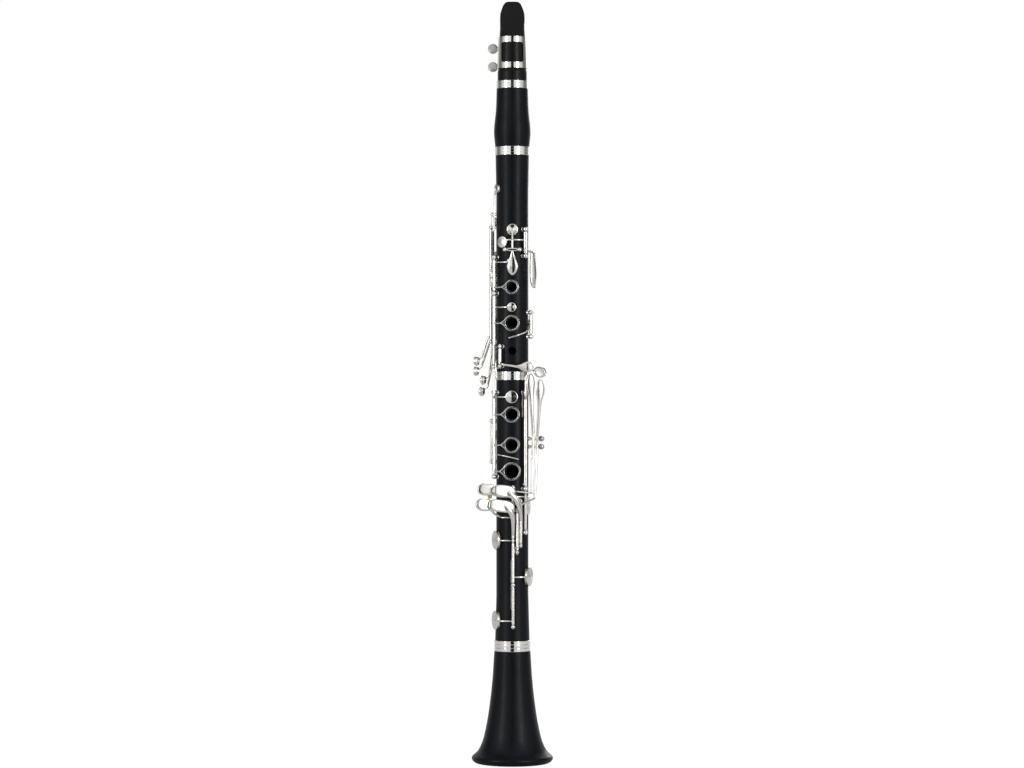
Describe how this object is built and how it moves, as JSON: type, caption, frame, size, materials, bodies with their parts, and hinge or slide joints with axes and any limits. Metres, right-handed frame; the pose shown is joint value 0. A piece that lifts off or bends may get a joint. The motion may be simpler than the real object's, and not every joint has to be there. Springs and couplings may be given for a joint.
{
  "type": "clarinet",
  "caption": "Soprano clarinet: black cylindrical body in jointed sections with flared bell, plated ring keys, levers, side keys and finger touches, mouthpiece, reed and ligature.",
  "frame": {"origin": "on the bore axis, at the plane of the bell's lip", "axes": "+Z along the bore to the mouthpiece, -Y the side of the finger holes, +X the player's left little-finger levers"},
  "size_m": [0.072, 0.072, 0.668],
  "materials": {
    "body": "satin",
    "mouthpiece": "matte",
    "keys": "polished",
    "rings": "polished",
    "posts": "polished",
    "ligature": "polished",
    "steel": "satin",
    "inserts": "satin",
    "cork": "matte",
    "pads": "matte",
    "reed": "satin"
  },
  "bodies": {
    "clarinet_body": {"barrel": "body", "barrel_rings": "rings", "bell": "body", "bell_ring": "rings", "bore_inserts": "inserts", "hinge_rods": "steel", "ligature_band": "ligature", "lower_joint": "body", "lower_posts": "posts", "middle_ring": "rings", "mouthpiece": "mouthpiece", "needle_springs": "steel", "reed": "reed", "tenon_corks": "cork", "thumb_rest": "posts", "thumb_rest_screws": "steel", "upper_joint": "body", "upper_posts": "posts"},
    "register_key": {"register_key": "keys", "register_pad": "pads"},
    "throat_a_key": {"throat_a_key": "keys", "throat_a_pad": "pads"},
    "throat_g_sharp_key": {"throat_g_sharp_key": "keys", "throat_g_sharp_pad": "pads"},
    "thumb_ring_key": {"thumb_ring_key": "keys"},
    "first_finger_ring_key": {"first_finger_ring_key": "keys", "first_vent_pad": "pads"},
    "second_finger_ring_key": {"second_finger_ring_key": "keys", "second_vent_pad": "pads"},
    "right_ring_key": {"right_ring_key": "keys", "right_vent_pad": "pads"},
    "left_c_sharp_key": {"left_c_sharp_key": "keys", "left_c_sharp_pad": "pads"},
    "left_e_flat_key": {"left_e_flat_key": "keys", "left_e_flat_pad": "pads"},
    "right_b_key": {"right_b_key": "keys", "right_b_pad": "pads"},
    "a_flat_key": {"a_flat_key": "keys", "a_flat_pad": "pads"},
    "f_sharp_key": {"f_sharp_key": "keys", "f_sharp_pad": "pads"},
    "f_touch_lever": {"f_touch_lever": "keys"},
    "f_key": {"f_key": "keys", "f_pad": "pads"},
    "e_key": {"e_key": "keys", "e_pad": "pads"},
    "left_f_lever": {"left_f_lever": "keys"},
    "left_e_lever": {"left_e_lever": "keys"},
    "left_f_sharp_lever": {"left_f_sharp_lever": "keys"},
    "ligature_screw_lower": {"ligature_screw_lower": "ligature"},
    "ligature_screw_upper": {"ligature_screw_upper": "ligature"},
    "side_key_1": {"side_key_1": "keys", "side_pad_1": "pads"},
    "side_key_2": {"side_key_2": "keys", "side_pad_2": "pads"},
    "side_key_3": {"side_key_3": "keys", "side_pad_3": "pads"},
    "side_key_4": {"side_key_4": "keys", "side_pad_4": "pads"}
  },
  "joints": [
    {"name": "register_key_pivot", "type": "hinge", "parent": "clarinet_body", "child": "register_key", "pos_m": [0, 0.0196, 0.474], "axis": [-1, 0, 0], "range_deg": [0, 4], "stiffness_Nm_per_rad": 0.05, "springref_deg": -5.73},
    {"name": "throat_a_key_pivot", "type": "hinge", "parent": "clarinet_body", "child": "throat_a_key", "pos_m": [0, -0.02, 0.4491], "axis": [1, 0, 0], "range_deg": [0, 6], "stiffness_Nm_per_rad": 0.05, "springref_deg": -5.73},
    {"name": "throat_g_sharp_key_pivot", "type": "hinge", "parent": "clarinet_body", "child": "throat_g_sharp_key", "pos_m": [0.0115, -0.0141, 0.455], "axis": [0, 0, 1], "range_deg": [0, 6], "stiffness_Nm_per_rad": 0.05, "springref_deg": -5.73},
    {"name": "thumb_ring_key_pivot", "type": "hinge", "parent": "clarinet_body", "child": "thumb_ring_key", "pos_m": [-0.0181, -0.0019, 0.425], "axis": [0, 0, -1], "range_deg": [0, 3.5], "stiffness_Nm_per_rad": 0.05, "springref_deg": -5.73},
    {"name": "first_finger_ring_key_pivot", "type": "hinge", "parent": "clarinet_body", "child": "first_finger_ring_key", "pos_m": [-0.01599, -0.00868, 0.427], "axis": [0, 0, 1], "range_deg": [0, 4.5]},
    {"name": "right_ring_key_pivot", "type": "hinge", "parent": "clarinet_body", "child": "right_ring_key", "pos_m": [-0.01599, -0.00868, 0.288], "axis": [0, 0, 1], "range_deg": [0, 4.5], "stiffness_Nm_per_rad": 0.05, "springref_deg": -5.73},
    {"name": "second_finger_ring_key_pivot", "type": "hinge", "parent": "clarinet_body", "child": "second_finger_ring_key", "pos_m": [-0.01599, -0.00868, 0.379], "axis": [0, 0, 1], "range_deg": [0, 4.5]},
    {"name": "left_c_sharp_key_pivot", "type": "hinge", "parent": "clarinet_body", "child": "left_c_sharp_key", "pos_m": [-0.01083, -0.01463, 0.3562], "axis": [0, 0, 1], "range_deg": [0, 4.5], "stiffness_Nm_per_rad": 0.05, "springref_deg": -5.73},
    {"name": "left_e_flat_key_pivot", "type": "hinge", "parent": "clarinet_body", "child": "left_e_flat_key", "pos_m": [0.01631, -0.00761, 0.384], "axis": [0, 0, -1], "range_deg": [0, 6], "stiffness_Nm_per_rad": 0.05, "springref_deg": -5.73},
    {"name": "right_b_key_pivot", "type": "hinge", "parent": "clarinet_body", "child": "right_b_key", "pos_m": [-0.01819, -0.00064, 0.282], "axis": [0, 0, 1], "range_deg": [0, 4], "stiffness_Nm_per_rad": 0.05, "springref_deg": -5.73},
    {"name": "a_flat_key_pivot", "type": "hinge", "parent": "clarinet_body", "child": "a_flat_key", "pos_m": [0.0114, -0.01393, 0.219], "axis": [0, 0, -1], "range_deg": [0, 5], "stiffness_Nm_per_rad": 0.05, "springref_deg": -5.73},
    {"name": "f_sharp_key_pivot", "type": "hinge", "parent": "clarinet_body", "child": "f_sharp_key", "pos_m": [0.00733, -0.01677, 0.2106], "axis": [0, 0, -1], "range_deg": [0, 5.5], "stiffness_Nm_per_rad": 0.05, "springref_deg": -5.73},
    {"name": "f_key_pivot", "type": "hinge", "parent": "clarinet_body", "child": "f_key", "pos_m": [0.00061, -0.01829, 0.176], "axis": [0, 0, 1], "range_deg": [0, 5.5], "stiffness_Nm_per_rad": 0.05, "springref_deg": -5.73},
    {"name": "f_touch_lever_pivot", "type": "hinge", "parent": "clarinet_body", "child": "f_touch_lever", "pos_m": [0.0043, -0.01779, 0.2036], "axis": [0, 0, -1], "range_deg": [0, 5.5]},
    {"name": "e_key_pivot", "type": "hinge", "parent": "clarinet_body", "child": "e_key", "pos_m": [0.00061, -0.01829, 0.18], "axis": [0, 0, -1], "range_deg": [0, 5.5], "stiffness_Nm_per_rad": 0.05, "springref_deg": -5.73},
    {"name": "left_f_lever_pivot", "type": "hinge", "parent": "clarinet_body", "child": "left_f_lever", "pos_m": [0.0114, -0.01393, 0.283], "axis": [0, 0, 1], "range_deg": [0, 4]},
    {"name": "left_e_lever_pivot", "type": "hinge", "parent": "clarinet_body", "child": "left_e_lever", "pos_m": [0, -0.008, 0.2843], "axis": [-1, 0, 0], "range_deg": [0, 1.9]},
    {"name": "left_f_sharp_lever_pivot", "type": "hinge", "parent": "clarinet_body", "child": "left_f_sharp_lever", "pos_m": [0, -0.008, 0.2773], "axis": [-1, 0, 0], "range_deg": [0, 1.5]},
    {"name": "side_key_1_pivot", "type": "hinge", "parent": "clarinet_body", "child": "side_key_1", "pos_m": [-0.01194, 0.01529, 0.4], "axis": [0, 0, -1], "range_deg": [0, 5], "stiffness_Nm_per_rad": 0.05, "springref_deg": -5.73},
    {"name": "side_key_2_pivot", "type": "hinge", "parent": "clarinet_body", "child": "side_key_2", "pos_m": [-0.01486, 0.01247, 0.415], "axis": [0, 0, -1], "range_deg": [0, 5], "stiffness_Nm_per_rad": 0.05, "springref_deg": -5.73},
    {"name": "side_key_3_pivot", "type": "hinge", "parent": "clarinet_body", "child": "side_key_3", "pos_m": [-0.01713, 0.00911, 0.43], "axis": [0, 0, -1], "range_deg": [0, 5], "stiffness_Nm_per_rad": 0.05, "springref_deg": -5.73},
    {"name": "side_key_4_pivot", "type": "hinge", "parent": "clarinet_body", "child": "side_key_4", "pos_m": [-0.01865, 0.00535, 0.445], "axis": [0, 0, -1], "range_deg": [0, 5], "stiffness_Nm_per_rad": 0.05, "springref_deg": -5.73},
    {"name": "ligature_screw_lower_turn", "type": "hinge", "parent": "clarinet_body", "child": "ligature_screw_lower", "pos_m": [0, 0.0156, 0.6113], "axis": [1, 0, 0], "continuous": true},
    {"name": "ligature_screw_upper_turn", "type": "hinge", "parent": "clarinet_body", "child": "ligature_screw_upper", "pos_m": [0, 0.0156, 0.6273], "axis": [1, 0, 0], "continuous": true}
  ],
  "couplings": [
    {"joint": "first_finger_ring_key_pivot", "follows": "thumb_ring_key_pivot", "ratio": 1.2857},
    {"joint": "second_finger_ring_key_pivot", "follows": "right_ring_key_pivot", "ratio": 1},
    {"joint": "f_touch_lever_pivot", "follows": "f_key_pivot", "ratio": 1},
    {"joint": "left_f_lever_pivot", "follows": "f_key_pivot", "ratio": 0.727},
    {"joint": "left_e_lever_pivot", "follows": "e_key_pivot", "ratio": 0.345},
    {"joint": "left_f_sharp_lever_pivot", "follows": "f_sharp_key_pivot", "ratio": 0.272}
  ]
}
